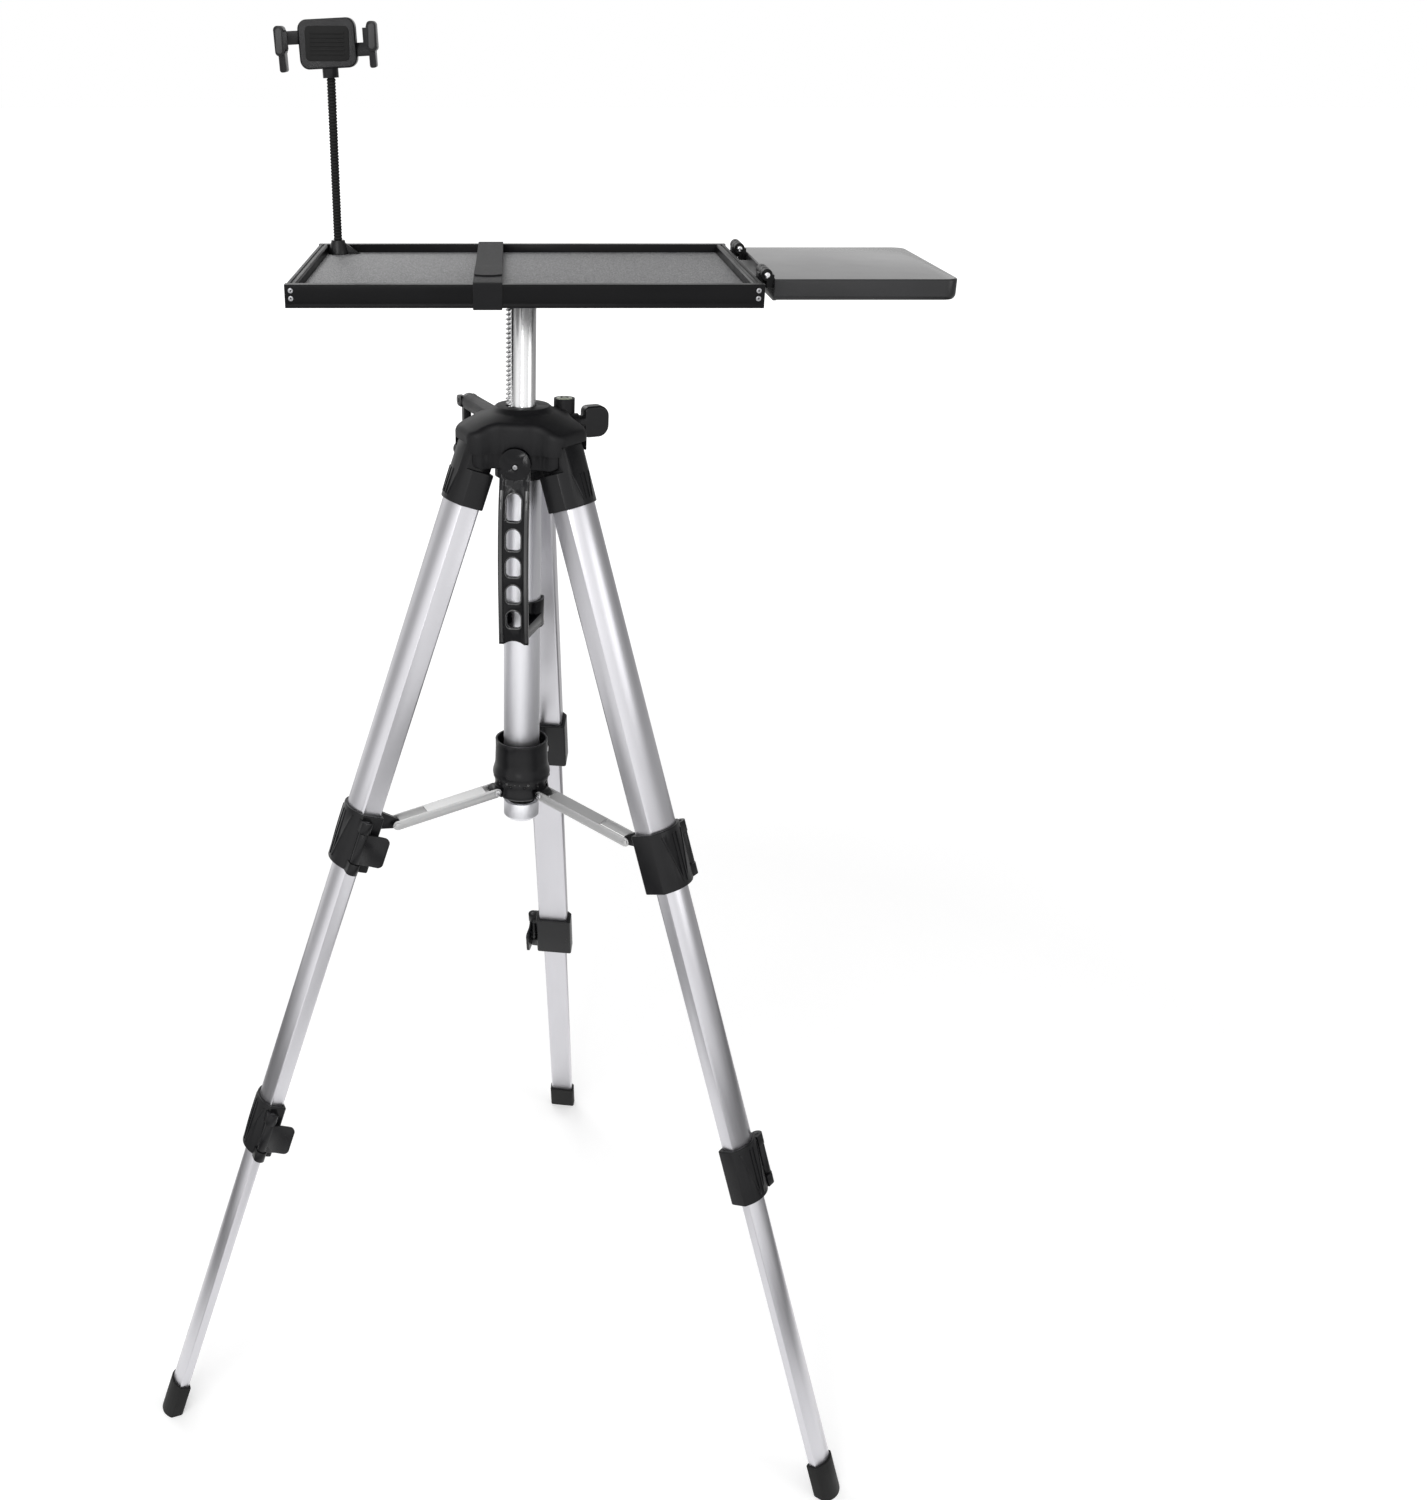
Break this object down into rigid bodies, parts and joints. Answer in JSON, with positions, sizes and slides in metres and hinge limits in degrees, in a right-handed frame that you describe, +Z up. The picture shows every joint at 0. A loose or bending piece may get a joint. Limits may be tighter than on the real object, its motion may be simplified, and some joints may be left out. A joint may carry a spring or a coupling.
{
  "type": "portable projector stand",
  "caption": "Folding tripod stand with a geared column, a rimmed projector tray, a hinged side tray and a phone holder on a flexible neck.",
  "frame": {"origin": "on the floor, under the column axis", "axes": "+Z up, -Y is the front that the picture shows, the tray runs along X with the side tray at +X"},
  "size_m": [0.7351, 0.6769, 1.3608],
  "materials": {
    "black_plastic": "satin moulded",
    "gloss_black": "gloss",
    "leg_aluminium": "satin anodised",
    "column_aluminium": "bright anodised",
    "strut_aluminium": "satin",
    "steel": "brushed",
    "rubber": "matt",
    "black_rubber": "ribbed sleeve",
    "black_metal": "satin black",
    "tray_plate": "fine speckled texture",
    "strap_fabric": "woven hook-and-loop band",
    "level_vial": "clear tinted"
  },
  "bodies": {
    "hub": {"hub_casting": "black_plastic", "leg_pins": "steel", "bubble_level": "level_vial", "centre_tube": "leg_aluminium", "tube_end_cap": "strut_aluminium", "carry_handle": "gloss_black"},
    "column": {"column_tube": "column_aluminium", "column_rack": "steel", "column_head": "black_metal", "tray_plate": "tray_plate", "tray_long_rails": "black_metal", "tray_end_rails": "black_metal", "tray_hinge": "black_metal", "tray_screws": "steel", "strap": "strap_fabric", "phone_base": "black_plastic", "phone_thumb_nut": "black_plastic", "gooseneck": "black_rubber"},
    "side_tray": {"side_tray": "black_metal", "side_tray_hinge": "black_metal"},
    "crank": {"crank_shaft": "black_plastic"},
    "crank_arm": {"crank_arm": "black_plastic", "crank_knob": "black_plastic"},
    "lock_knob": {"lock_knob": "black_plastic"},
    "phone_clamp": {"phone_clamp": "black_plastic"},
    "phone_jaw_left": {"phone_jaw_left": "black_plastic"},
    "phone_jaw_right": {"phone_jaw_right": "black_plastic"},
    "collar": {"spreader_collar": "black_plastic", "collar_pins": "steel"},
    "leg_1_upper": {"leg_1_socket": "black_plastic", "leg_1_upper_tube": "leg_aluminium", "leg_1_upper_clamp": "black_plastic"},
    "leg_1_mid": {"leg_1_mid_tube": "leg_aluminium", "leg_1_lower_clamp": "black_plastic"},
    "leg_1_lower": {"leg_1_lower_tube": "leg_aluminium", "leg_1_foot": "rubber"},
    "leg_1_upper_lever": {"leg_1_upper_lever": "black_plastic"},
    "leg_1_lower_lever": {"leg_1_lower_lever": "black_plastic"},
    "strut_1": {"strut_1": "strut_aluminium"},
    "leg_2_upper": {"leg_2_socket": "black_plastic", "leg_2_upper_tube": "leg_aluminium", "leg_2_upper_clamp": "black_plastic"},
    "leg_2_mid": {"leg_2_mid_tube": "leg_aluminium", "leg_2_lower_clamp": "black_plastic"},
    "leg_2_lower": {"leg_2_lower_tube": "leg_aluminium", "leg_2_foot": "rubber"},
    "leg_2_upper_lever": {"leg_2_upper_lever": "black_plastic"},
    "leg_2_lower_lever": {"leg_2_lower_lever": "black_plastic"},
    "strut_2": {"strut_2": "strut_aluminium"},
    "leg_3_upper": {"leg_3_socket": "black_plastic", "leg_3_upper_tube": "leg_aluminium", "leg_3_upper_clamp": "black_plastic"},
    "leg_3_mid": {"leg_3_mid_tube": "leg_aluminium", "leg_3_lower_clamp": "black_plastic"},
    "leg_3_lower": {"leg_3_lower_tube": "leg_aluminium", "leg_3_foot": "rubber"},
    "leg_3_upper_lever": {"leg_3_upper_lever": "black_plastic"},
    "leg_3_lower_lever": {"leg_3_lower_lever": "black_plastic"},
    "strut_3": {"strut_3": "strut_aluminium"}
  },
  "joints": [
    {"name": "column_slide", "type": "slide", "parent": "hub", "child": "column", "axis": [0, 0, -1], "range_m": [-0.15, 0.045]},
    {"name": "crank_turn", "type": "hinge", "parent": "hub", "child": "crank", "pos_m": [-0.02101, -0.00806, 1.03905], "axis": [-0.3584, 0.9336, 0], "range_deg": [-1080, 330]},
    {"name": "crank_arm_fold", "type": "hinge", "parent": "crank", "child": "crank_arm", "pos_m": [-0.05183, 0.07222, 1.03905], "axis": [0.9336, 0.3584, 0], "range_deg": [0, 90]},
    {"name": "lock_turn", "type": "hinge", "parent": "hub", "child": "lock_knob", "pos_m": [0.05975, 0.02294, 1.03005], "axis": [0.9336, 0.3584, 0], "range_deg": [-180, 0]},
    {"name": "leg_1_fold", "type": "hinge", "parent": "hub", "child": "leg_1_upper", "pos_m": [-0.0407, -0.01562, 1.01805], "axis": [0.3584, -0.9336, 0], "range_deg": [0, 16.5]},
    {"name": "leg_1_mid_slide", "type": "slide", "parent": "leg_1_upper", "child": "leg_1_mid", "axis": [0.3116, 0.1196, 0.9426], "range_m": [0, 0.262]},
    {"name": "leg_1_lower_slide", "type": "slide", "parent": "leg_1_mid", "child": "leg_1_lower", "axis": [0.3116, 0.1196, 0.9426], "range_m": [0, 0.296]},
    {"name": "leg_1_upper_lever_turn", "type": "hinge", "parent": "leg_1_upper", "child": "leg_1_upper_lever", "pos_m": [-0.15229, -0.08974, 0.65486], "axis": [0.3116, 0.1196, 0.9426], "range_deg": [-100, 0]},
    {"name": "leg_1_lower_lever_turn", "type": "hinge", "parent": "leg_1_mid", "child": "leg_1_lower_lever", "pos_m": [-0.25496, -0.12593, 0.34756], "axis": [0.3116, 0.1196, 0.9426], "range_deg": [-100, 0]},
    {"name": "leg_2_fold", "type": "hinge", "parent": "hub", "child": "leg_2_upper", "pos_m": [0.03388, -0.02744, 1.01805], "axis": [0.6293, 0.7771, 0], "range_deg": [0, 16.5]},
    {"name": "leg_2_mid_slide", "type": "slide", "parent": "leg_2_upper", "child": "leg_2_mid", "axis": [-0.2594, 0.2101, 0.9426], "range_m": [0, 0.262]},
    {"name": "leg_2_lower_slide", "type": "slide", "parent": "leg_2_mid", "child": "leg_2_lower", "axis": [-0.2594, 0.2101, 0.9426], "range_m": [0, 0.296]},
    {"name": "leg_2_upper_lever_turn", "type": "hinge", "parent": "leg_2_upper", "child": "leg_2_upper_lever", "pos_m": [0.15386, -0.08702, 0.65486], "axis": [-0.2594, 0.2101, 0.9426], "range_deg": [-100, 0]},
    {"name": "leg_2_lower_lever_turn", "type": "hinge", "parent": "leg_2_mid", "child": "leg_2_lower_lever", "pos_m": [0.23654, -0.15783, 0.34756], "axis": [-0.2594, 0.2101, 0.9426], "range_deg": [-100, 0]},
    {"name": "leg_3_fold", "type": "hinge", "parent": "hub", "child": "leg_3_upper", "pos_m": [0.00682, 0.04306, 1.01805], "axis": [-0.9877, 0.1564, 0], "range_deg": [0, 16.5]},
    {"name": "leg_3_mid_slide", "type": "slide", "parent": "leg_3_upper", "child": "leg_3_mid", "axis": [-0.0522, -0.3297, 0.9426], "range_m": [0, 0.262]},
    {"name": "leg_3_lower_slide", "type": "slide", "parent": "leg_3_mid", "child": "leg_3_lower", "axis": [-0.0522, -0.3297, 0.9426], "range_m": [0, 0.296]},
    {"name": "leg_3_upper_lever_turn", "type": "hinge", "parent": "leg_3_upper", "child": "leg_3_upper_lever", "pos_m": [-0.00157, 0.17676, 0.65486], "axis": [-0.0522, -0.3297, 0.9426], "range_deg": [-100, 0]},
    {"name": "leg_3_lower_lever_turn", "type": "hinge", "parent": "leg_3_mid", "child": "leg_3_lower_lever", "pos_m": [0.01842, 0.28377, 0.34756], "axis": [-0.0522, -0.3297, 0.9426], "range_deg": [-100, 0]},
    {"name": "collar_slide", "type": "slide", "parent": "hub", "child": "collar", "axis": [0, 0, 1], "range_m": [0, 0.0774]},
    {"name": "strut_1_turn", "type": "hinge", "parent": "collar", "child": "strut_1", "pos_m": [-0.02614, -0.01003, 0.67565], "axis": [0.3584, -0.9336, 0], "range_deg": [0, 82.5]},
    {"name": "strut_2_turn", "type": "hinge", "parent": "collar", "child": "strut_2", "pos_m": [0.02176, -0.01762, 0.67565], "axis": [0.6293, 0.7771, 0], "range_deg": [0, 82.5]},
    {"name": "strut_3_turn", "type": "hinge", "parent": "collar", "child": "strut_3", "pos_m": [0.00438, 0.02765, 0.67565], "axis": [-0.9877, 0.1564, 0], "range_deg": [0, 82.5]},
    {"name": "side_tray_fold", "type": "hinge", "parent": "column", "child": "side_tray", "pos_m": [0.1935, 0, 1.174], "axis": [0, -1, 0], "range_deg": [0, 180]},
    {"name": "phone_swivel", "type": "hinge", "parent": "column", "child": "phone_clamp", "pos_m": [-0.169, 0.113, 1.312], "axis": [0, 0, 1], "range_deg": [-60, 60]},
    {"name": "phone_jaw_right_slide", "type": "slide", "parent": "phone_clamp", "child": "phone_jaw_right", "axis": [0.9988, 0, 0.048], "range_m": [-0.008, 0.012]},
    {"name": "phone_jaw_left_slide", "type": "slide", "parent": "phone_clamp", "child": "phone_jaw_left", "axis": [-0.9988, 0, -0.048], "range_m": [-0.008, 0.012]}
  ],
  "couplings": [
    {"joint": "crank_turn", "follows": "column_slide", "rad_per_m": 125},
    {"joint": "leg_2_fold", "follows": "leg_1_fold", "ratio": 1},
    {"joint": "leg_3_fold", "follows": "leg_1_fold", "ratio": 1},
    {"joint": "collar_slide", "follows": "leg_1_fold", "m_per_rad": 0.26711},
    {"joint": "strut_1_turn", "follows": "leg_1_fold", "ratio": 4.9819},
    {"joint": "strut_2_turn", "follows": "leg_1_fold", "ratio": 4.9819},
    {"joint": "strut_3_turn", "follows": "leg_1_fold", "ratio": 4.9819},
    {"joint": "phone_jaw_left_slide", "follows": "phone_jaw_right_slide", "ratio": 1}
  ]
}
